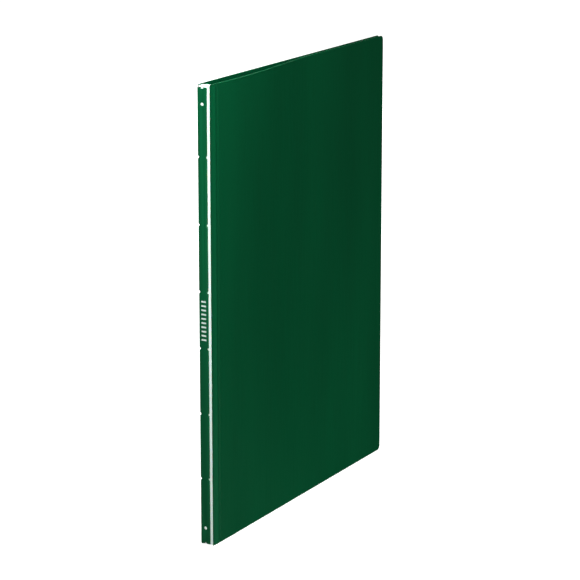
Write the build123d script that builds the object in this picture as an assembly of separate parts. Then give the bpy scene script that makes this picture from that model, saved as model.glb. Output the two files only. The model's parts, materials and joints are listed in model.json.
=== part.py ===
"""Slim refillable stamp album, standing on its lower edge.

The spine is at -X and the fore-edge at +X, the front cover faces -Y, the back cover +Y,
and +Z is up. The origin is in the middle of the footprint. All lengths are millimetres.

A white core bar runs down the spine. A punched green strip is pegged to its outer face, and
the two polypropylene covers are welded to its sides. Each cover is one sheet with a scored
crease, so it is two nodes here: a fixed flange beside the core and a panel that swings. Five
stock leaves hang inside on guards that are set in slots in the core.
"""
from build123d import *
import os

# The whole album
WIDTH = 240.0
HEIGHT = 309.0
SPINE_THICKNESS = 9.5
FORE_EDGE_THICKNESS = 3.8
BOW = 0.68

# Covers
SHEET = 0.6
CORNER_RADIUS = 3.2
CREASE_FROM_SPINE = 7.6
CREASE_GAP = 0.3
AXIS_STANDOFF = 0.1

# Core bar
CORE_DEPTH = 6.0
CORE_FOOT = 0.6
CORE_HEAD_DROP = 0.8
CORE_CORNER = 2.0

# Punched strip on the spine
STRIP_THICKNESS = 0.6
STRIP_WIDTH = 7.0
STRIP_FOOT = 0.8
STRIP_HEAD_DROP = 1.8
STRIP_FROM_BACK = 0.1
BITE_RADIUS = 0.85
END_BITE_RADIUS = 1.0
BITE_HEIGHTS = (19.0, 63.5, 108.0)
PEG_RADIUS = 1.1
PEG_LENGTH = 1.7
PEG_FROM_STRIP_END = 10.9
PEG_EDGE = 0.25

# Leaves, numbered from the front cover
LEAF_COUNT = 5
LEAF_WIDTH = 208.0
LEAF_HEIGHT = 297.0
LEAF_CORNER = 4.0
LEAF_PITCH = 0.42
LEAF_STAGGER = 1.6
LEAF_CLEAR_OF_BACK = 0.2
CARD_THICKNESS = 0.22
FILM_THICKNESS = 0.08
FIRST_LEAF_AXIS = 20.0
LEAF_GAP = 0.15
LEAF_AXIS_STANDOFF = 0.05

# Clear pockets on each leaf
POCKET_ROWS = 7
POCKET_PITCH = 41.0
POCKET_HEIGHT = 38.5
POCKET_SIDE_MARGIN = 6.0

# Guards that carry the leaves
GUARD_THICKNESS = 0.22
GUARD_HEIGHT = 289.0
GUARD_SLOT_DEPTH = 3.6
GUARD_FLAT = 4.0
FIRST_GUARD_FROM_FRONT = 2.2
LAST_GUARD_FROM_BACK = 1.6

# Places worked out from the sizes above
SPINE_X = -WIDTH / 2
CORE_X = SPINE_X + STRIP_THICKNESS
FORE_X = WIDTH / 2
BACK_Y = (SPINE_THICKNESS + BOW) / 2
FRONT_Y = BACK_Y - SPINE_THICKNESS
CREASE_X = CORE_X + CREASE_FROM_SPINE
PANEL_X = CREASE_X + CREASE_GAP / 2
FLANGE_END_X = CREASE_X - CREASE_GAP / 2
LEAF_THICKNESS = CARD_THICKNESS + FILM_THICKNESS
MIDDLE_Z = HEIGHT / 2
CLOSING_SLOPE = (SPINE_THICKNESS - FORE_EDGE_THICKNESS) / (FORE_X - PANEL_X)

# The front cover's head edge bows out beside the spine and in again over the leaves. Each pair is
# the distance from the crease and how far the sheet stands inside its straight line.
HEAD_WAVE = ((0.0, 0.0), (7.0, -0.35), (26.0, -1.45), (50.0, -1.4), (76.0, -0.3),
             (102.0, 1.5), (128.0, 2.5), (173.0, 1.4), (WIDTH, 0.0))


def block(x0, x1, y0, y1, z0, z1):
    """A box between two corners."""
    size = Box(x1 - x0, y1 - y0, z1 - z0)
    return Pos((x0 + x1) / 2, (y0 + y1) / 2, (z0 + z1) / 2) * size


def round_fore_corners(solid, radius):
    """Round the two corners of a sheet that are at its fore-edge."""
    corners = solid.edges().filter_by(Axis.Y).group_by(Axis.X)[-1]
    return fillet(corners, radius)


def punch(x, y, z, radius, length):
    """A round bar along +X from x."""
    bar = Cylinder(radius, length, align=(Align.CENTER, Align.CENTER, Align.MIN))
    return Pos(x, y, z) * (Rot(0, 90, 0) * bar)


def strip_places():
    """The strip's back edge, front edge, foot and head."""
    back = BACK_Y - STRIP_FROM_BACK
    return back, back - STRIP_WIDTH, STRIP_FOOT, HEIGHT - STRIP_HEAD_DROP


def bite_levels():
    """Heights of the half-round bites, in pairs about the middle of the strip."""
    _, _, foot, head = strip_places()
    middle = (foot + head) / 2
    return [middle + side * height for side in (-1, 1) for height in BITE_HEIGHTS]


def peg_places():
    """Middle of the strip's width and the heights of its two pegs."""
    back, front, foot, head = strip_places()
    return (back + front) / 2, (foot + PEG_FROM_STRIP_END, head - PEG_FROM_STRIP_END)


def spine_strip():
    back, front, foot, head = strip_places()
    strip = block(SPINE_X, CORE_X, front, back, foot, head)
    start = SPINE_X - STRIP_THICKNESS
    reach = 3 * STRIP_THICKNESS
    for level in bite_levels():
        for edge in (front, back):
            strip -= punch(start, edge, level, BITE_RADIUS, reach)
    middle, levels = peg_places()
    for level in levels:
        strip -= punch(start, middle, level, PEG_RADIUS, reach)
    for level in (foot, head):
        strip -= punch(start, middle, level, END_BITE_RADIUS, reach)
    return strip


def spine_peg(level):
    middle, _ = peg_places()
    peg = punch(SPINE_X, middle, level, PEG_RADIUS, PEG_LENGTH)
    rim = peg.edges().filter_by(GeomType.CIRCLE).group_by(Axis.X)[0]
    return fillet(rim, PEG_EDGE)


def leaf_middle_y(number):
    """Middle of a leaf's thickness; leaf 1 is next to the front cover."""
    last = BACK_Y - SHEET - LEAF_CLEAR_OF_BACK - LEAF_THICKNESS / 2
    return last - LEAF_PITCH * (LEAF_COUNT - number)


def leaf_axis_x(number):
    return CORE_X + FIRST_LEAF_AXIS + LEAF_STAGGER * (number - 1)


def leaf_axis_y(number):
    return leaf_middle_y(number) - LEAF_THICKNESS / 2 - LEAF_AXIS_STANDOFF


def guard(number):
    """A white strip from its slot in the core to the leaf's crease, flat beside the leaf."""
    first = FRONT_Y + FIRST_GUARD_FROM_FRONT
    last = BACK_Y - LAST_GUARD_FROM_BACK
    root_y = first + (last - first) * (number - 1) / (LEAF_COUNT - 1)
    middle_y = leaf_middle_y(number)
    root = Vector(CORE_X + CORE_DEPTH - GUARD_SLOT_DEPTH, root_y)
    knee = Vector(leaf_axis_x(1) - GUARD_FLAT, middle_y)
    tip = Vector(leaf_axis_x(number) - LEAF_GAP, middle_y)
    half = Vector(0, GUARD_THICKNESS / 2)
    outline = Polyline(root + half, knee + half, tip + half, tip - half, knee - half, root - half,
                       close=True)
    foot = MIDDLE_Z - GUARD_HEIGHT / 2
    return Pos(0, 0, foot) * extrude(make_face(outline), GUARD_HEIGHT)


def spine_core(guards):
    """The white bar, with a slot for each guard and a hole for each peg."""
    front = FRONT_Y + SHEET
    back = BACK_Y - SHEET
    core = block(CORE_X, CORE_X + CORE_DEPTH, front, back, CORE_FOOT, HEIGHT - CORE_HEAD_DROP)
    head_corner = core.edges().filter_by(Axis.X).group_by(Axis.Z)[-1].sort_by(Axis.Y)[0]
    core = fillet(head_corner, CORE_CORNER)
    for piece in guards:
        core -= piece
    middle, levels = peg_places()
    for level in levels:
        core -= punch(SPINE_X, middle, level, PEG_RADIUS, PEG_LENGTH)
    return core


def front_flange():
    return block(CORE_X, FLANGE_END_X, FRONT_Y, FRONT_Y + SHEET, 0, HEIGHT)


def back_flange():
    """The back sheet's flange, with the strip's bites carried into its spine edge."""
    flange = block(CORE_X, FLANGE_END_X, BACK_Y - SHEET, BACK_Y, 0, HEIGHT)
    for level in bite_levels():
        flange -= Pos(CORE_X, BACK_Y, level) * (Rot(90, 0, 0) * Cylinder(BITE_RADIUS, 3 * SHEET))
    return flange


def front_section(wave, level):
    """Cross-section of the front panel; wave is 0 at the straight foot and 1 at the head."""
    outer = []
    for distance, inset in HEAD_WAVE:
        outer.append(Vector(PANEL_X + distance, FRONT_Y + CLOSING_SLOPE * distance + wave * inset))
    inner = [point + Vector(0, SHEET) for point in outer]
    edges = [Spline(*outer), Line(outer[-1], inner[-1]), Spline(*inner), Line(inner[0], outer[0])]
    return Pos(0, 0, level) * make_face(edges)


def front_panel():
    """The swinging front cover: straight along its foot and wavy along its head.

    The sheet is made a little too tall and too wide, and is then cut to size.
    """
    spare = SHEET / HEIGHT
    sheet = loft([front_section(wave, wave * HEIGHT) for wave in (-spare, 1 + spare)])
    blank = block(PANEL_X - SHEET, FORE_X, -2 * SPINE_THICKNESS, 2 * SPINE_THICKNESS, 0, HEIGHT)
    return sheet & round_fore_corners(blank, CORNER_RADIUS)


def back_panel():
    panel = block(PANEL_X, FORE_X, BACK_Y - SHEET, BACK_Y, 0, HEIGHT)
    return round_fore_corners(panel, CORNER_RADIUS)


def leaf_card(number):
    """The black card of a leaf."""
    x0 = leaf_axis_x(number) + LEAF_GAP
    back = leaf_middle_y(number) + LEAF_THICKNESS / 2
    foot = MIDDLE_Z - LEAF_HEIGHT / 2
    card = block(x0, x0 + LEAF_WIDTH, back - CARD_THICKNESS, back, foot, foot + LEAF_HEIGHT)
    return round_fore_corners(card, LEAF_CORNER)


def leaf_pockets(number):
    """The clear film strips on a leaf's front face, one solid for each row."""
    x0 = leaf_axis_x(number) + LEAF_GAP + POCKET_SIDE_MARGIN
    x1 = x0 + LEAF_WIDTH - 2 * POCKET_SIDE_MARGIN
    front = leaf_middle_y(number) - LEAF_THICKNESS / 2
    lowest = MIDDLE_Z - POCKET_PITCH * (POCKET_ROWS - 1) / 2 - POCKET_HEIGHT / 2
    rows = []
    for row in range(POCKET_ROWS):
        foot = lowest + POCKET_PITCH * row
        rows.append(block(x0, x1, front, front + FILM_THICKNESS, foot, foot + POCKET_HEIGHT))
    return Compound(children=rows)


def album():
    """Every node of the album by name."""
    guards = {f"leaf_{n}_guard": guard(n) for n in range(1, LEAF_COUNT + 1)}
    _, peg_levels = peg_places()
    nodes = {
        "spine_core": spine_core(guards.values()),
        "spine_strip": spine_strip(),
        "spine_peg_lower": spine_peg(peg_levels[0]),
        "spine_peg_upper": spine_peg(peg_levels[1]),
        "front_flange": front_flange(),
        "back_flange": back_flange(),
        "front_panel": front_panel(),
        "back_panel": back_panel(),
    }
    nodes.update(guards)
    for number in range(1, LEAF_COUNT + 1):
        nodes[f"leaf_{number}_card"] = leaf_card(number)
        nodes[f"leaf_{number}_pockets"] = leaf_pockets(number)
    return nodes


os.makedirs("parts", exist_ok=True)
for name, shape in album().items():
    export_step(shape, f"parts/{name}.step")

front_axis = (CREASE_X, FRONT_Y - AXIS_STANDOFF)
back_axis = (CREASE_X, BACK_Y + AXIS_STANDOFF)
print(f"front cover axis x, y: {front_axis[0]:.3f}, {front_axis[1]:.3f}")
print(f"back cover axis x, y: {back_axis[0]:.3f}, {back_axis[1]:.3f}")
for number in range(1, LEAF_COUNT + 1):
    print(f"leaf {number} axis x, y: {leaf_axis_x(number):.3f}, {leaf_axis_y(number):.3f}")
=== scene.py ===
"""Looks for a slim stamp album: polypropylene covers, a punched spine strip and stock leaves."""
import json
import math

import bmesh
import bpy
import numpy as np
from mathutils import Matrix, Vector

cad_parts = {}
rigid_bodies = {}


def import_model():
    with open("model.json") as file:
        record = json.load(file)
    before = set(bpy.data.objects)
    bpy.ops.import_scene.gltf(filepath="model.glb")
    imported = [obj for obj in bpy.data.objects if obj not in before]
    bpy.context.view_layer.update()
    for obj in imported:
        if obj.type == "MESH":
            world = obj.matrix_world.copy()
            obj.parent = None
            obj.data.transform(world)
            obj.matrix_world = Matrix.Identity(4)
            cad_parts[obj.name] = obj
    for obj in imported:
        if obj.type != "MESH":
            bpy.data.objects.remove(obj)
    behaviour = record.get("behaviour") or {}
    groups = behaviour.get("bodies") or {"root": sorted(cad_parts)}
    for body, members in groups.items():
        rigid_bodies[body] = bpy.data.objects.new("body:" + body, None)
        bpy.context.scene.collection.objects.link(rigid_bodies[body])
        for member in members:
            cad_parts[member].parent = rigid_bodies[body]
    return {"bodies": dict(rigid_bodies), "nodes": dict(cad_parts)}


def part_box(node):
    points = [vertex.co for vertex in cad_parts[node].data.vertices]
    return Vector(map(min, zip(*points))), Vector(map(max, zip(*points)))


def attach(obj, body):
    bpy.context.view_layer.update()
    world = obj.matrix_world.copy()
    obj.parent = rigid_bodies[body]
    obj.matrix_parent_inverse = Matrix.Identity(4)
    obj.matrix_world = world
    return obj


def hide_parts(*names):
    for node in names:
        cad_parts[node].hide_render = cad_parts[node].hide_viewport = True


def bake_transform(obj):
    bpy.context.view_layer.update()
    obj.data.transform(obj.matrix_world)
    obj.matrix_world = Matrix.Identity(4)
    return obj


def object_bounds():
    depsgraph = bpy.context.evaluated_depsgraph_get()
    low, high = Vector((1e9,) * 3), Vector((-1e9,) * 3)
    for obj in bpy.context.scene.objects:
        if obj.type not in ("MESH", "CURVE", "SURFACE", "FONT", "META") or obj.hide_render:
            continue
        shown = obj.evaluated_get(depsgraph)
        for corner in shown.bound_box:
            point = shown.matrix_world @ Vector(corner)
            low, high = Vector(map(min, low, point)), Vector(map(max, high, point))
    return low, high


bl_info = {
    "name": "Stamp Album",
    "version": (1, 0, 0),
    "blender": (4, 5, 0),
    "location": "3D View > Sidebar > Album",
    "description": "Builds the visible pieces of a slim stamp album around its frame",
    "category": "Add Mesh",
}

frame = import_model()
CAD_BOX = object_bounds()

MM = 0.001
# Name of the vertex mask for the painted glow of the white core through the green sheet
PAINTED_GLOW = "painted_core_glow"
CUT = 1  # place of the cut edge among a cover's materials
STRAIGHT_DOWN = (0, 0, 0)

# Places read from the frame
STRIP_LOW, STRIP_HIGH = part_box("spine_strip")
FLANGE_LOW, FLANGE_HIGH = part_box("front_flange")
PANEL_LOW, PANEL_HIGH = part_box("front_panel")
HEIGHT = FLANGE_HIGH.z
FORE_X = PANEL_HIGH.x
SPINE_EDGE_X = FLANGE_LOW.x
CREASE_X = (FLANGE_HIGH.x + PANEL_LOW.x) / 2
CORE_INSIDE_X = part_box("spine_core")[1].x
FRONT_Y = FLANGE_LOW.y
BACK_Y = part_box("back_flange")[1].y
SHEET = FLANGE_HIGH.y - FLANGE_LOW.y
LEAVES = sorted(body for body in frame["bodies"] if body.startswith("leaf_"))

# The front cover's head edge bows out beside the spine and in again over the leaves: the distance
# from the crease, then how far the sheet stands inside its straight line, in millimetres.
HEAD_WAVE = ((0.0, 0.0), (7.0, -0.35), (26.0, -1.45), (50.0, -1.4), (76.0, -0.3),
             (102.0, 1.5), (128.0, 2.5), (173.0, 1.4), (240.0, 0.0))
FORE_EDGE_THICKNESS = 3.8 * MM
BITE_HEIGHTS = (19.0 * MM, 63.5 * MM, 108.0 * MM)


def linear(code):
    """Linear red, green and blue of an sRGB hex colour."""
    shares = [int(code[start:start + 2], 16) / 255 for start in (1, 3, 5)]
    return tuple(s / 12.92 if s <= 0.04045 else ((s + 0.055) / 1.055) ** 2.4 for s in shares)


class AlbumFinishes(bpy.types.PropertyGroup):
    """Colours and surface sizes of the album's materials."""
    cover: bpy.props.FloatVectorProperty(
        name="Cover", description="Colour of the polypropylene sheet",
        subtype="COLOR", size=3, min=0, max=1, default=linear("#004426"))
    cut_edge: bpy.props.FloatVectorProperty(
        name="Cut edge", description="Colour of the sheet where a cut shows its inside",
        subtype="COLOR", size=3, min=0, max=1, default=linear("#025a34"))
    core: bpy.props.FloatVectorProperty(
        name="Core", description="Colour of the white core, guards, pegs and ink",
        subtype="COLOR", size=3, min=0, max=1, default=linear("#e3f5ec"))
    card: bpy.props.FloatVectorProperty(
        name="Card", description="Colour of the leaves' card",
        subtype="COLOR", size=3, min=0, max=1, default=linear("#131416"))
    grain: bpy.props.FloatProperty(
        name="Grain", description="Grain size of the embossed sheet",
        unit="LENGTH", default=0.9 * MM)


class AlbumCovers(bpy.types.PropertyGroup):
    """Sizes of the two cover sheets."""
    corner: bpy.props.FloatProperty(
        name="Corner radius", description="Radius of the covers' fore-edge corners",
        unit="LENGTH", default=3.2 * MM)
    groove_depth: bpy.props.FloatProperty(
        name="Crease depth", description="Depth of the scored crease",
        unit="LENGTH", default=0.3 * MM)
    groove_width: bpy.props.FloatProperty(
        name="Crease width",
        description="Width of the crease on the panel's side, twice its width on the flange's",
        unit="LENGTH", default=2.0 * MM)
    weld_sink: bpy.props.FloatProperty(
        name="Weld sink", description="How far the welded spine edge is pressed in",
        unit="LENGTH", default=0.22 * MM)
    edge_round: bpy.props.FloatProperty(
        name="Edge rounding", description="Width of the rounding on the sheets' edges",
        unit="LENGTH", default=0.16 * MM)


class AlbumSpine(bpy.types.PropertyGroup):
    """Sizes of the pieces on the spine."""
    strip_round: bpy.props.FloatProperty(
        name="Strip rounding", description="Rounding on the punched strip's edges",
        unit="LENGTH", default=0.12 * MM)
    core_round: bpy.props.FloatProperty(
        name="Core rounding", description="Rounding on the core bar's edges",
        unit="LENGTH", default=0.2 * MM)
    bite: bpy.props.FloatProperty(
        name="Bite radius",
        description="Radius of the half-round bites in the back cover's spine edge",
        unit="LENGTH", default=0.85 * MM)
    tick_count: bpy.props.IntProperty(
        name="Ticks", description="How many plain ticks are printed on the strip", default=10)
    tick_pitch: bpy.props.FloatProperty(
        name="Tick pitch", description="Distance from one printed tick to the next",
        unit="LENGTH", default=2.85 * MM)


class AlbumLeaves(bpy.types.PropertyGroup):
    """Sizes of the pieces on the leaves."""
    card_round: bpy.props.FloatProperty(
        name="Card rounding", description="Rounding on the edges of the cards and guards",
        unit="LENGTH", default=0.05 * MM)
    seam: bpy.props.FloatProperty(
        name="Seam width", description="Width of the welded seams at each pocket's foot and ends",
        unit="LENGTH", default=1.6 * MM)
    lip: bpy.props.FloatProperty(
        name="Lip height", description="Height of each pocket's lip, whose upper half is thinned",
        unit="LENGTH", default=0.9 * MM)


class AlbumStage(bpy.types.PropertyGroup):
    """Where the camera stands, and the floor's colour."""
    azimuth: bpy.props.FloatProperty(
        name="Azimuth", description="Direction of the camera round the album",
        subtype="ANGLE", default=math.radians(-59.38))
    elevation: bpy.props.FloatProperty(
        name="Elevation", description="Height of the camera above the horizon",
        subtype="ANGLE", default=math.radians(14.38))
    distance: bpy.props.FloatProperty(
        name="Distance", description="From the point looked at to the camera",
        unit="LENGTH", default=1.739)
    aim: bpy.props.FloatVectorProperty(
        name="Aim", description="The point that the camera looks at",
        subtype="TRANSLATION", size=3, default=(-0.0133, -0.00035, 0.1513))
    lens: bpy.props.FloatProperty(
        name="Lens", description="Focal length in millimetres", default=157.9)
    floor: bpy.props.FloatVectorProperty(
        name="Floor", description="Colour of the floor",
        subtype="COLOR", size=3, min=0, max=1, default=linear("#f4f4f2"))


# Materials

def add(tree, kind, values=None, links=None):
    """Adds one node. Values set its properties or its inputs, and links join its inputs."""
    node = tree.nodes.new(kind)
    for name, value in (values or {}).items():
        if name in node.inputs:
            node.inputs[name].default_value = value
        else:
            setattr(node, name, value)
    for name, source in (links or {}).items():
        tree.links.new(source, node.inputs[name])
    return node


def new_material(name):
    """An empty material with its node tree and the album's own coordinates."""
    made = bpy.data.materials.new(name)
    made.use_nodes = True
    tree = made.node_tree
    tree.nodes.clear()
    place = add(tree, "ShaderNodeTexCoord").outputs["Object"]
    return made, tree, place


def finish_material(tree, values, links):
    """Adds the surface shader and the output."""
    shader = add(tree, "ShaderNodeBsdfPrincipled", values, links)
    add(tree, "ShaderNodeOutputMaterial", links={"Surface": shader.outputs["BSDF"]})


def embossed_polypropylene(name, colour, grain, roughness):
    """Extruded polypropylene sheet with a fine emboss: deep colour under a soft sheen.

    A sheet of this kind has a grain of about 0.3 mm. It is drawn coarser so that it shows.
    """
    made, tree, place = new_material(name)
    speckle = add(tree, "ShaderNodeTexNoise", {"Scale": 1 / grain, "Detail": 3.0},
                  {"Vector": place})
    # Slow draw lines of the extruder, about 55 mm apart and several times as long
    stretch = add(tree, "ShaderNodeMapping", {"Scale": (1.0, 1.0, 0.18)}, {"Vector": place})
    drift = add(tree, "ShaderNodeTexNoise", {"Scale": 1 / (55 * MM), "Detail": 2.0},
                {"Vector": stretch.outputs["Vector"]})
    # Handling scuffs, 1.2 mm wide and about 30 mm long, up and down the sheet
    narrow = add(tree, "ShaderNodeMapping", {"Scale": (1.0, 1.0, 0.04)}, {"Vector": place})
    scuff = add(tree, "ShaderNodeTexNoise", {"Scale": 1 / (1.2 * MM), "Detail": 4.0},
                {"Vector": narrow.outputs["Vector"]})
    gloss = add(tree, "ShaderNodeMapRange",
                {"From Min": 0.35, "From Max": 0.7, "To Min": roughness - 0.04,
                 "To Max": roughness + 0.06}, {"Value": scuff.outputs["Fac"]})
    tone = add(tree, "ShaderNodeMapRange",
               {"From Min": 0.3, "From Max": 0.7, "To Min": 0.9, "To Max": 1.12},
               {"Value": drift.outputs["Fac"]})
    # Painted glow: the sheet is drawn lighter where the white core lies behind it, as if the core
    # lit it through
    painted_glow_strength = 0.55
    glow_mask = add(tree, "ShaderNodeAttribute", {"attribute_name": PAINTED_GLOW})
    painted_glow = add(tree, "ShaderNodeMath", {"operation": "MULTIPLY_ADD"},
               {0: glow_mask.outputs["Fac"], 2: tone.outputs[0]})
    painted_glow.inputs[1].default_value = painted_glow_strength
    shade = add(tree, "ShaderNodeVectorMath", {"operation": "SCALE"}, {"Scale": painted_glow.outputs[0]})
    shade.inputs[0].default_value = colour
    relief = add(tree, "ShaderNodeBump", {"Strength": 0.25, "Distance": 0.05 * MM},
                 {"Height": speckle.outputs["Fac"]})
    finish_material(tree, {"IOR": 1.49},
                    {"Base Color": shade.outputs[0], "Roughness": gloss.outputs[0],
                     "Normal": relief.outputs["Normal"]})
    return made


def cut_polypropylene(colour):
    """Sheared edge of the sheet: lighter and duller, because light leaks through it."""
    made, tree, place = new_material("green_polypropylene_cut_edge")
    tear = add(tree, "ShaderNodeTexNoise", {"Scale": 1 / (0.8 * MM), "Detail": 3.0},
               {"Vector": place})
    tone = add(tree, "ShaderNodeMapRange", {"To Min": 0.8, "To Max": 1.2},
               {"Value": tear.outputs["Fac"]})
    shade = add(tree, "ShaderNodeVectorMath", {"operation": "SCALE"}, {"Scale": tone.outputs[0]})
    shade.inputs[0].default_value = colour
    relief = add(tree, "ShaderNodeBump", {"Strength": 0.4, "Distance": 0.04 * MM},
                 {"Height": tear.outputs["Fac"]})
    finish_material(tree, {"IOR": 1.49, "Roughness": 0.55, "Specular IOR Level": 0.2},
                    {"Base Color": shade.outputs[0], "Normal": relief.outputs["Normal"]})
    return made


def white_polypropylene(colour):
    """Extruded white polypropylene bar: satin, with faint lines drawn along its length."""
    made, tree, place = new_material("white_polypropylene_satin")
    stretch = add(tree, "ShaderNodeMapping", {"Scale": (1.0, 1.0, 0.02)}, {"Vector": place})
    line = add(tree, "ShaderNodeTexNoise", {"Scale": 1 / (0.7 * MM), "Detail": 2.0},
               {"Vector": stretch.outputs["Vector"]})
    dust = add(tree, "ShaderNodeTexNoise", {"Scale": 1 / (9 * MM), "Detail": 3.0},
               {"Vector": place})
    tone = add(tree, "ShaderNodeMapRange", {"To Min": 0.93, "To Max": 1.03},
               {"Value": dust.outputs["Fac"]})
    shade = add(tree, "ShaderNodeVectorMath", {"operation": "SCALE"}, {"Scale": tone.outputs[0]})
    shade.inputs[0].default_value = colour
    gloss = add(tree, "ShaderNodeMapRange", {"To Min": 0.32, "To Max": 0.46},
                {"Value": line.outputs["Fac"]})
    relief = add(tree, "ShaderNodeBump", {"Strength": 0.2, "Distance": 0.03 * MM},
                 {"Height": line.outputs["Fac"]})
    finish_material(tree, {"IOR": 1.49, "Subsurface Weight": 0.15, "Subsurface Scale": 1 * MM},
                    {"Base Color": shade.outputs[0], "Roughness": gloss.outputs[0],
                     "Normal": relief.outputs["Normal"]})
    return made


def moulded_nylon(colour):
    """Injection-moulded white nylon peg: smoother and glossier than the core round it."""
    made, tree, place = new_material("white_nylon_moulded")
    mould = add(tree, "ShaderNodeTexNoise", {"Scale": 1 / (0.5 * MM), "Detail": 2.0},
                {"Vector": place})
    gloss = add(tree, "ShaderNodeMapRange", {"To Min": 0.22, "To Max": 0.34},
                {"Value": mould.outputs["Fac"]})
    relief = add(tree, "ShaderNodeBump", {"Strength": 0.15, "Distance": 0.02 * MM},
                 {"Height": mould.outputs["Fac"]})
    finish_material(tree, {"Base Color": (*colour, 1.0), "IOR": 1.53},
                    {"Roughness": gloss.outputs[0], "Normal": relief.outputs["Normal"]})
    return made


def screen_ink(colour):
    """Screen-printed white ink: flat, with the mesh's faint pinholes."""
    made, tree, place = new_material("white_screen_ink")
    pinhole = add(tree, "ShaderNodeTexNoise", {"Scale": 1 / (0.4 * MM), "Detail": 2.0},
                  {"Vector": place})
    tone = add(tree, "ShaderNodeMapRange", {"From Min": 0.3, "To Min": 0.72, "To Max": 1.0},
               {"Value": pinhole.outputs["Fac"]})
    shade = add(tree, "ShaderNodeVectorMath", {"operation": "SCALE"}, {"Scale": tone.outputs[0]})
    shade.inputs[0].default_value = colour
    finish_material(tree, {"IOR": 1.5, "Roughness": 0.55}, {"Base Color": shade.outputs[0]})
    return made


def black_card(colour):
    """Dyed stock card: matt black with a short pressed fibre, about 1.5 mm long."""
    made, tree, place = new_material("black_stock_card")
    lay = add(tree, "ShaderNodeMapping", {"Scale": (1.0, 1.0, 0.35)}, {"Vector": place})
    fibre = add(tree, "ShaderNodeTexNoise", {"Scale": 1 / (0.5 * MM), "Detail": 5.0,
                                             "Roughness": 0.65},
                {"Vector": lay.outputs["Vector"]})
    cloud = add(tree, "ShaderNodeTexNoise", {"Scale": 1 / (14 * MM), "Detail": 3.0},
                {"Vector": place})
    tone = add(tree, "ShaderNodeMapRange", {"To Min": 0.7, "To Max": 1.5},
               {"Value": cloud.outputs["Fac"]})
    shade = add(tree, "ShaderNodeVectorMath", {"operation": "SCALE"}, {"Scale": tone.outputs[0]})
    shade.inputs[0].default_value = colour
    relief = add(tree, "ShaderNodeBump", {"Strength": 0.5, "Distance": 0.05 * MM},
                 {"Height": fibre.outputs["Fac"]})
    finish_material(tree, {"IOR": 1.45, "Roughness": 0.82, "Specular IOR Level": 0.3},
                    {"Base Color": shade.outputs[0], "Normal": relief.outputs["Normal"]})
    return made


def clear_film():
    """Clear polyester film: nearly smooth, with the slow ripple of a film welded at its ends."""
    made, tree, place = new_material("clear_polyester_film")
    ripple = add(tree, "ShaderNodeTexNoise", {"Scale": 1 / (18 * MM), "Detail": 1.0},
                 {"Vector": place})
    relief = add(tree, "ShaderNodeBump", {"Strength": 0.3, "Distance": 0.3 * MM},
                 {"Height": ripple.outputs["Fac"]})
    gloss = add(tree, "ShaderNodeMapRange", {"To Min": 0.04, "To Max": 0.12},
                {"Value": ripple.outputs["Fac"]})
    finish_material(tree, {"Base Color": (0.97, 1.0, 0.98, 1.0), "IOR": 1.55,
                           "Transmission Weight": 1.0},
                    {"Roughness": gloss.outputs[0], "Normal": relief.outputs["Normal"]})
    return made


def light_table(colour):
    """White acrylic light table: matt, lit from below, so that shadows on it stay faint."""
    made, tree, place = new_material("opal_acrylic_light_table")
    mottle = add(tree, "ShaderNodeTexNoise", {"Scale": 1 / (40 * MM), "Detail": 2.0},
                 {"Vector": place})
    tone = add(tree, "ShaderNodeMapRange", {"To Min": 0.99, "To Max": 1.01},
               {"Value": mottle.outputs["Fac"]})
    shade = add(tree, "ShaderNodeVectorMath", {"operation": "SCALE"}, {"Scale": tone.outputs[0]})
    shade.inputs[0].default_value = colour
    finish_material(tree, {"Roughness": 0.9, "Specular IOR Level": 0.1,
                           "Emission Color": (1, 1, 1, 1), "Emission Strength": 0.6},
                    {"Base Color": shade.outputs[0]})
    return made


# Meshes

def put(name, mesh, materials):
    """Links a mesh into the scene as a piece and materials."""
    thing = bpy.data.objects.new(name, mesh)
    bpy.context.scene.collection.objects.link(thing)
    for made in materials:
        mesh.materials.append(made)
    return thing


def mesh_from(name, draft, sharp=25.0):
    """A smooth-shaded mesh from a bmesh, with edges over the sharp angle kept crisp."""
    bmesh.ops.recalc_face_normals(draft, faces=draft.faces)
    mesh = bpy.data.meshes.new(name)
    draft.to_mesh(mesh)
    draft.free()
    # Normals stored with a frame node's shape don't fit it once its edges are rounded
    if "custom_normal" in mesh.attributes:
        mesh.attributes.remove(mesh.attributes["custom_normal"])
    mesh.shade_smooth()
    mesh.set_sharp_from_angle(angle=math.radians(sharp))
    return mesh


def rounded(draft, width):
    """Rounds every edge of a bmesh that is a corner and not part of a curve."""
    corner = math.radians(50)
    edges = [edge for edge in draft.edges
             if len(edge.link_faces) == 2 and edge.calc_face_angle() > corner]
    bmesh.ops.bevel(draft, geom=edges, offset=width, segments=2, profile=0.5,
                    affect="EDGES", clamp_overlap=False)


def close_up(draft, sides):
    """Faces on two matching grids of vertices and round their rim.

    Each grid is a list of columns. Returns the rim's faces, but for those along the first column.
    """
    last_x, last_z = len(sides[0]) - 1, len(sides[0][0]) - 1
    for grid in sides:
        for i in range(last_x):
            for j in range(last_z):
                draft.faces.new((grid[i][j], grid[i + 1][j], grid[i + 1][j + 1], grid[i][j + 1]))
    rim = ([(i, 0) for i in range(last_x)] + [(last_x, j) for j in range(last_z)]
           + [(i, last_z) for i in range(last_x, 0, -1)] + [(0, j) for j in range(last_z, 0, -1)])
    cuts = []
    for (i, j), (k, m) in zip(rim, rim[1:] + rim[:1]):
        face = draft.faces.new((sides[0][i][j], sides[0][k][m], sides[1][k][m], sides[1][i][j]))
        if i > 0 or k > 0:
            cuts.append(face)
    return cuts


def softened(node, width):
    """A copy of a frame node's shape with its hard edges rounded."""
    draft = bmesh.new()
    draft.from_mesh(frame["nodes"][node].data)
    bmesh.ops.remove_doubles(draft, verts=draft.verts, dist=0.0005 * MM)
    bmesh.ops.dissolve_limit(draft, angle_limit=math.radians(0.5), verts=draft.verts,
                             edges=draft.edges)
    rounded(draft, width)
    return mesh_from(f"{node}_softened", draft)


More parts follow.
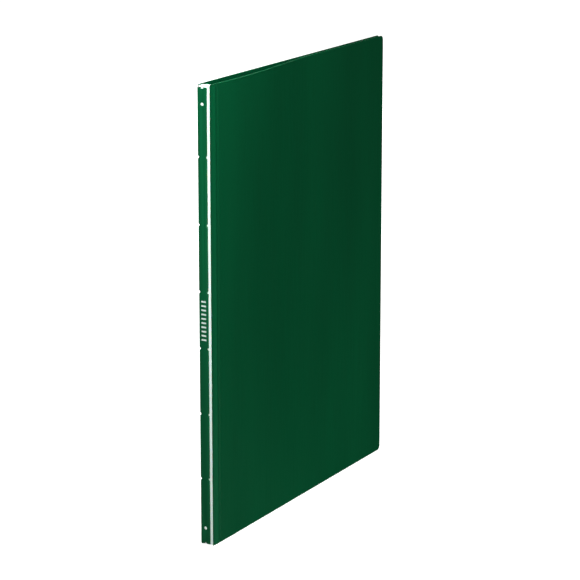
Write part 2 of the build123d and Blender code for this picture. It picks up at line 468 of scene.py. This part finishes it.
def mark_painted_glow(mesh, share):
    """Stores how much the painted glow of the white core lightens the sheet at each vertex, from
    0 to 1.
    """
    marks = mesh.attributes.new(PAINTED_GLOW, "FLOAT", "POINT")
    for vert, mark in zip(mesh.vertices, marks.data):
        mark.value = share(vert.co)


def through(points, place):
    """Height at a place on the smooth line through (distance, height) points."""
    last = len(points) - 1
    place = min(max(place, points[0][0]), points[last][0])
    start = max(i for i in range(last) if points[i][0] <= place)
    (x0, y0), (x1, y1) = points[start], points[start + 1]

    def steepness(i):
        (xa, ya), (xb, yb) = points[max(i - 1, 0)], points[min(i + 1, last)]
        return (yb - ya) / (xb - xa)

    span = x1 - x0
    t = (place - x0) / span
    first, second = steepness(start) * span, steepness(start + 1) * span
    return ((2 * t ** 3 - 3 * t ** 2 + 1) * y0 + (t ** 3 - 2 * t ** 2 + t) * first
            + (3 * t ** 2 - 2 * t ** 3) * y1 + (t ** 3 - t ** 2) * second)


def cover_columns(radius):
    """Places across a cover: close together at the crease and round the corners."""
    flange_step, crease_step, past_crease = 0.6 * MM, 0.15 * MM, 3 * MM
    flange = [SPINE_EDGE_X + flange_step * i for i in range(9)]
    crease = [CREASE_X + crease_step * i for i in range(-14, 15)]
    end = FORE_X - radius
    open_sheet = list(np.linspace(CREASE_X + past_crease, end, 64))
    turns = [end + radius * math.sin(math.radians(angle)) for angle in range(6, 91, 6)]
    return flange + crease + open_sheet + turns


def cover_rows(bites):
    """Places up a cover, with more of them round the bites in its spine edge."""
    rows = set(np.round(np.linspace(0, HEIGHT, 52), 7))
    for level, radius in bites:
        near = [level + radius * math.sin(math.radians(angle)) for angle in range(-90, 91, 15)]
        rows = {row for row in rows if abs(row - level) > 1.5 * radius} | set(near)
    return sorted(rows)


def notch(height, bites):
    """How far a bite reaches into the spine edge at a height."""
    for level, radius in bites:
        if abs(height - level) < radius:
            return math.sqrt(radius ** 2 - (height - level) ** 2)
    return 0.0


def sheet_mesh(name, outside, inside, radius, edge_round, bites=()):
    """A closed sheet between two surfaces, with rounded fore-edge corners and cut edges."""
    columns, rows = cover_columns(radius), cover_rows(bites)
    bite_reach = 3 * MM
    draft = bmesh.new()
    sides = []
    for surface in (outside, inside):
        grid = []
        for x in columns:
            past = max(0.0, x - (FORE_X - radius)) / radius
            low = radius * (1 - math.sqrt(max(0.0, 1 - past ** 2)))
            line = []
            for row in rows:
                z = low + (HEIGHT - 2 * low) * row / HEIGHT
                fade = max(0.0, 1 - (x - SPINE_EDGE_X) / bite_reach)
                line.append(draft.verts.new((x + notch(z, bites) * fade, surface(x, z), z)))
            grid.append(line)
        sides.append(grid)
    for face in close_up(draft, sides):
        face.material_index = CUT
    bmesh.ops.recalc_face_normals(draft, faces=draft.faces)
    rounded(draft, edge_round)
    # The roundings at the head and foot, which lean well out of the sheet, show the cut as well
    draft.normal_update()
    leaning = 0.3
    for face in draft.faces:
        if abs(face.normal.z) > leaning:
            face.material_index = CUT
    return mesh_from(name, draft, sharp=20.0)


def groove(x, covers):
    """Depth of the scored crease at a place across a cover."""
    reach = covers.groove_width / 2 if x < CREASE_X else covers.groove_width
    return covers.groove_depth * max(0.0, 1 - abs(x - CREASE_X) / reach)


def weld(x, covers):
    """How far the flange is pressed in: most at its spine edge, fading out before the crease."""
    reach = 0.7 * (CREASE_X - SPINE_EDGE_X)
    share = (x - SPINE_EDGE_X) / reach
    return covers.weld_sink * max(0.0, 1 - share ** 2)


def front_line(x, z):
    """The front sheet's outer face before its weld and crease are pressed in."""
    past = max(0.0, x - CREASE_X)
    closing = (BACK_Y - FRONT_Y - FORE_EDGE_THICKNESS) / (FORE_X - CREASE_X)
    bow = through(HEAD_WAVE, past / MM) * MM * z / HEIGHT
    return FRONT_Y + closing * past + bow


def domed_peg(name, node):
    """A round peg with a domed head, where its frame node stands."""
    low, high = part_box(node)
    middle = (low + high) / 2
    radius, dome, chamfer = (high.z - low.z) / 2, 0.3 * MM, 0.2 * MM
    draft = bmesh.new()
    turns = [math.radians(angle) for angle in range(0, 91, 9)]
    profile = [(low.x + dome * (1 - math.cos(turn)), radius * math.sin(turn)) for turn in turns]
    profile += [(high.x - chamfer, radius), (high.x, radius - chamfer), (high.x, 0.0)]
    line = [draft.verts.new((x, middle.y, middle.z + r)) for x, r in profile]
    edges = [draft.edges.new(pair) for pair in zip(line, line[1:])]
    bmesh.ops.spin(draft, geom=line + edges, cent=middle, axis=(1, 0, 0),
                   angle=2 * math.pi, steps=36)
    bmesh.ops.remove_doubles(draft, verts=draft.verts, dist=0.001 * MM)
    return mesh_from(name, draft, sharp=35.0)


def tick_marks(name, spine):
    """Thin raised ticks of ink, one above another in the middle of the strip."""
    draft = bmesh.new()
    middle_y = (STRIP_LOW.y + STRIP_HIGH.y) / 2
    below_middle = 0.7 * MM
    middle_z = HEIGHT / 2 - below_middle
    # Half of a tick's thickness, width and height
    half = Vector((0.01 * MM, 1.8 * MM, 0.55 * MM))
    for number in range(spine.tick_count):
        z = middle_z + spine.tick_pitch * (number - (spine.tick_count - 1) / 2)
        made = bmesh.ops.create_cube(draft, size=2.0)["verts"]
        for vert in made:
            vert.co = Vector((STRIP_LOW.x, middle_y, z)) + vert.co * half
    upright = [edge for edge in draft.edges
               if abs(edge.verts[0].co.x - edge.verts[1].co.x) > half.x]
    bmesh.ops.bevel(draft, geom=upright, offset=0.25 * MM, segments=4, profile=0.5,
                    affect="EDGES", clamp_overlap=True)
    return mesh_from(name, draft)


def pocket_films(name, node, leaves):
    """Clear film strips: thinned at the welded ends and foot, and again at the open mouth."""
    source = bmesh.new()
    source.from_mesh(frame["nodes"][node].data)
    bmesh.ops.remove_doubles(source, verts=source.verts, dist=0.0005 * MM)
    levels = sorted({round(vert.co.z, 6) for vert in source.verts})
    source.free()
    low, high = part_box(node)
    draft = bmesh.new()
    film = high.y - low.y
    sealed_lift, lip_lift = 0.45 * film, 0.35 * film
    clear = 10 * MM
    across = [low.x, low.x + leaves.seam, low.x + 2 * leaves.seam]
    across += list(np.linspace(low.x + clear, high.x - clear, 24))
    across += [high.x - 2 * leaves.seam, high.x - leaves.seam, high.x]
    for foot, head in zip(levels[::2], levels[1::2]):
        up = [foot, foot + leaves.seam * 0.5, foot + leaves.seam, foot + 1.5 * leaves.seam]
        up += list(np.linspace(foot + 6 * MM, head - 4 * MM, 6))
        up += [head - leaves.lip, head - leaves.lip / 2, head]
        grids = []
        for inner in (False, True):
            grid = []
            for i, x in enumerate(across):
                line = []
                for j, z in enumerate(up):
                    sealed = j < 3 or i < 2 or i > len(across) - 3
                    lift = sealed_lift if sealed else 0.0
                    if j == len(up) - 1:
                        lift += lip_lift
                    line.append(draft.verts.new((x, high.y if inner else low.y + lift, z)))
                grid.append(line)
            grids.append(grid)
        close_up(draft, grids)
    return mesh_from(name, draft)


# Operators

class ALBUM_OT_stage(bpy.types.Operator):
    """Camera, floor and soft lights"""
    bl_idname = "album.stage"
    bl_label = "Stage"

    def execute(self, context):
        stage = context.scene.album_stage
        self.camera(context, stage)
        self.floor(context, stage)
        self.lights(context)
        self.surroundings(context)
        context.scene.view_settings.view_transform = "Standard"
        return {"FINISHED"}

    def camera(self, context, stage):
        """A long lens that looks at the album from its spine side, a little from above."""
        lens = bpy.data.cameras.new("album_camera")
        lens.lens = stage.lens
        lens.clip_start, lens.clip_end = 0.05, 50.0
        camera = bpy.data.objects.new("album_camera", lens)
        context.scene.collection.objects.link(camera)
        back = Vector((math.sin(stage.azimuth) * math.cos(stage.elevation),
                       -math.cos(stage.azimuth) * math.cos(stage.elevation),
                       math.sin(stage.elevation)))
        camera.location = Vector(stage.aim) + back * stage.distance
        camera.rotation_euler = (-back).to_track_quat("-Z", "Y").to_euler()
        context.scene.camera = camera

    def floor(self, context, stage):
        """A wide pale floor that the album stands on."""
        draft = bmesh.new()
        bmesh.ops.create_grid(draft, x_segments=8, y_segments=8, size=9.0)
        floor = bpy.data.objects.new("floor", mesh_from("floor", draft))
        context.scene.collection.objects.link(floor)
        floor.location.z = CAD_BOX[0].z
        floor.data.materials.append(light_table(stage.floor))
        floor.visible_glossy = False
        floor.visible_diffuse = False
        floor.visible_shadow = False

    def lights(self, context):
        """A soft sun for the edges and five softboxes.

        A tall key stands beside the spine, a card lights the foot and a narrow strip the head.
        The fill behind the album and the softbox in front of it are the two that its gloss shows.
        """
        sun = bpy.data.lights.new("soft_sun", "SUN")
        sun.energy = 0.75
        sun.angle = math.radians(60)
        self.hang(context, sun, (-0.6, -1.3, 2.6))
        self.softbox(context, "key_softbox", 1.6, (0.1, 0.3), (-0.36, -0.16, 0.4))
        self.softbox(context, "low_bounce_card", 0.42, (0.35, 0.1), (-0.02, -0.22, -0.08))
        head = self.softbox(context, "head_strip_light", 0.2, (0.1, 0.01), (-0.07, -0.012, 0.41))
        head.rotation_euler = STRAIGHT_DOWN
        self.softbox(context, "fill_softbox", 20.0, (1.2, 1.2), (0.9, 1.3, 0.8), shines=True)
        self.softbox(context, "front_softbox", 3.2, (0.9, 0.9), (0.1, -1.3, 1.2), shines=True)

    def softbox(self, context, name, watts, size, place, shines=False):
        """Hangs a flat light of a given width and height."""
        light = bpy.data.lights.new(name, "AREA")
        light.shape = "RECTANGLE"
        light.energy = watts
        light.size, light.size_y = size
        return self.hang(context, light, place, shines)

    def hang(self, context, light, place, shines=False):
        """Puts a light at a place, facing the album. One that shines shows in its gloss."""
        lamp = bpy.data.objects.new(light.name, light)
        context.scene.collection.objects.link(lamp)
        lamp.location = place
        lamp.visible_camera = False
        lamp.visible_glossy = shines
        aim = Vector((0, 0, HEIGHT / 2)) - Vector(place)
        lamp.rotation_euler = aim.to_track_quat("-Z", "Y").to_euler()
        return lamp

    def surroundings(self, context):
        """A white studio that lights softly, and is kept out of reflections as by black flags."""
        world = bpy.data.worlds.new("studio")
        context.scene.world = world
        world.use_nodes = True
        world.cycles_visibility.glossy = False
        tree = world.node_tree
        tree.nodes.clear()
        path = add(tree, "ShaderNodeLightPath")
        strength = add(tree, "ShaderNodeMapRange", {"To Min": 0.36, "To Max": 1.0},
                       {"Value": path.outputs["Is Camera Ray"]})
        white = add(tree, "ShaderNodeBackground", {"Color": (1, 1, 1, 1)},
                    {"Strength": strength.outputs[0]})
        add(tree, "ShaderNodeOutputWorld", links={"Surface": white.outputs[0]})


class ALBUM_OT_covers(bpy.types.Operator):
    """Front and back cover, each one creased sheet"""
    bl_idname = "album.covers"
    bl_label = "Covers"

    def execute(self, context):
        covers, finishes = context.scene.album_covers, context.scene.album_finishes
        face = embossed_polypropylene("green_polypropylene_sheet", finishes.cover,
                                      finishes.grain, 0.36)
        edge = cut_polypropylene(finishes.cut_edge)

        def front_outside(x, z):
            return front_line(x, z) + groove(x, covers) + weld(x, covers)

        def front_inside(x, z):
            return front_line(x, z) + SHEET

        def back_outside(x, z):
            return BACK_Y - groove(x, covers) - weld(x, covers)

        def back_inside(x, z):
            return BACK_Y - SHEET

        middle = (STRIP_LOW.z + STRIP_HIGH.z) / 2
        bite = context.scene.album_spine.bite
        bites = [(middle + side * height, bite) for side in (-1, 1) for height in BITE_HEIGHTS]
        self.sheet("front", front_outside, front_inside, (), covers, (face, edge))
        self.sheet("back", back_outside, back_inside, bites, covers, (face, edge))
        return {"FINISHED"}

    def sheet(self, side, outside, inside, bites, covers, materials):
        """One cover, a single sheet from the spine's edge across the crease to the fore-edge."""
        mesh = sheet_mesh(f"{side}_cover_sheet", outside, inside, covers.corner,
                          covers.edge_round, bites)
        blur, glow_fade_in, most = 0.9 * MM, 3.5 * MM, 0.57

        # Painted glow on the cover: none at the spine edge, rising over 3.5 mm from it, fading
        # out past the core's inner side
        def share(place):
            past = (CORE_INSIDE_X + blur - place.x) / (2 * blur)
            near = min(1.0, (place.x - SPINE_EDGE_X) / glow_fade_in)
            return most * min(1.0, max(0.0, past)) * near

        mark_painted_glow(mesh, share)
        made = put(f"{side}_cover_sheet", mesh, materials)
        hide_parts(f"{side}_flange", f"{side}_panel")
        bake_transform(made)


class ALBUM_OT_spine_core(bpy.types.Operator):
    """White core bar with its slots, and the guards that are set in them"""
    bl_idname = "album.spine_core"
    bl_label = "Spine core and guards"

    def execute(self, context):
        white = white_polypropylene(context.scene.album_finishes.core)
        core = put("spine_core_bar", softened("spine_core", context.scene.album_spine.core_round),
                   [white])
        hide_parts("spine_core")
        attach(core, "spine")
        for leaf in LEAVES:
            node = f"{leaf}_guard"
            mesh = softened(node, context.scene.album_leaves.card_round)
            guard = put(f"{node}_strip", mesh, [white])
            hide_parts(node)
            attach(guard, "spine")
        return {"FINISHED"}


class ALBUM_OT_spine_strip(bpy.types.Operator):
    """Punched green strip on the spine, with its printed ticks"""
    bl_idname = "album.spine_strip"
    bl_label = "Spine strip and print"

    def execute(self, context):
        spine, finishes = context.scene.album_spine, context.scene.album_finishes
        green = embossed_polypropylene("green_polypropylene_strip", finishes.cover,
                                       finishes.grain, 0.4)
        mesh = softened("spine_strip", spine.strip_round)
        # Painted glow over the whole strip: it is drawn lighter, as if the white core behind lit
        # it through
        mark_painted_glow(mesh, lambda co: 1.0)
        strip = put("spine_strip_punched", mesh, [green])
        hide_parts("spine_strip")
        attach(strip, "spine")
        ink = put("spine_tick_print", tick_marks("spine_tick_print", spine),
                  [screen_ink(finishes.core)])
        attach(ink, "spine")
        return {"FINISHED"}


class ALBUM_OT_pegs(bpy.types.Operator):
    """Two domed pegs that hold the strip to the core"""
    bl_idname = "album.pegs"
    bl_label = "Pegs"

    def execute(self, context):
        nylon = moulded_nylon(context.scene.album_finishes.core)
        for node in ("spine_peg_lower", "spine_peg_upper"):
            peg = put(f"{node}_domed", domed_peg(f"{node}_domed", node), [nylon])
            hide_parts(node)
            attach(peg, "spine")
        return {"FINISHED"}


class ALBUM_OT_leaves(bpy.types.Operator):
    """Black card leaves with rows of clear pockets"""
    bl_idname = "album.leaves"
    bl_label = "Leaves"

    def execute(self, context):
        leaves = context.scene.album_leaves
        card, film = black_card(context.scene.album_finishes.card), clear_film()
        for leaf in LEAVES:
            sheet = put(f"{leaf}_stock_card", softened(f"{leaf}_card", leaves.card_round),
                        [card])
            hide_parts(f"{leaf}_card")
            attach(sheet, leaf)
            name = f"{leaf}_pocket_films"
            pockets = put(name, pocket_films(name, f"{leaf}_pockets", leaves),
                          [film])
            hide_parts(f"{leaf}_pockets")
            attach(pockets, leaf)
        return {"FINISHED"}


class ALBUM_PT_panel(bpy.types.Panel):
    """The album's operators and settings"""
    bl_idname = "ALBUM_PT_panel"
    bl_label = "Stamp Album"
    bl_space_type = "VIEW_3D"
    bl_region_type = "UI"
    bl_category = "Album"

    def draw(self, context):
        for operator in OPERATORS:
            self.layout.operator(operator.bl_idname)
        for title in SETTINGS:
            group = getattr(context.scene, f"album_{title}")
            box = self.layout.box()
            for name in group.bl_rna.properties.keys():
                if name not in ("rna_type", "name"):
                    box.prop(group, name)


SETTINGS = {"finishes": AlbumFinishes, "covers": AlbumCovers, "spine": AlbumSpine,
            "leaves": AlbumLeaves, "stage": AlbumStage}
OPERATORS = (ALBUM_OT_stage, ALBUM_OT_covers, ALBUM_OT_spine_core, ALBUM_OT_spine_strip,
             ALBUM_OT_pegs, ALBUM_OT_leaves)


def register():
    for made in (*SETTINGS.values(), *OPERATORS, ALBUM_PT_panel):
        bpy.utils.register_class(made)
    for name, group in SETTINGS.items():
        setattr(bpy.types.Scene, f"album_{name}", bpy.props.PointerProperty(type=group))


def unregister():
    for name in SETTINGS:
        delattr(bpy.types.Scene, f"album_{name}")
    for made in (ALBUM_PT_panel, *reversed(OPERATORS), *reversed(SETTINGS.values())):
        bpy.utils.unregister_class(made)


def main():
    register()
    bpy.ops.album.stage()
    bpy.ops.album.covers()
    bpy.ops.album.spine_core()
    bpy.ops.album.spine_strip()
    bpy.ops.album.pegs()
    bpy.ops.album.leaves()


if __name__ == "__main__":
    main()
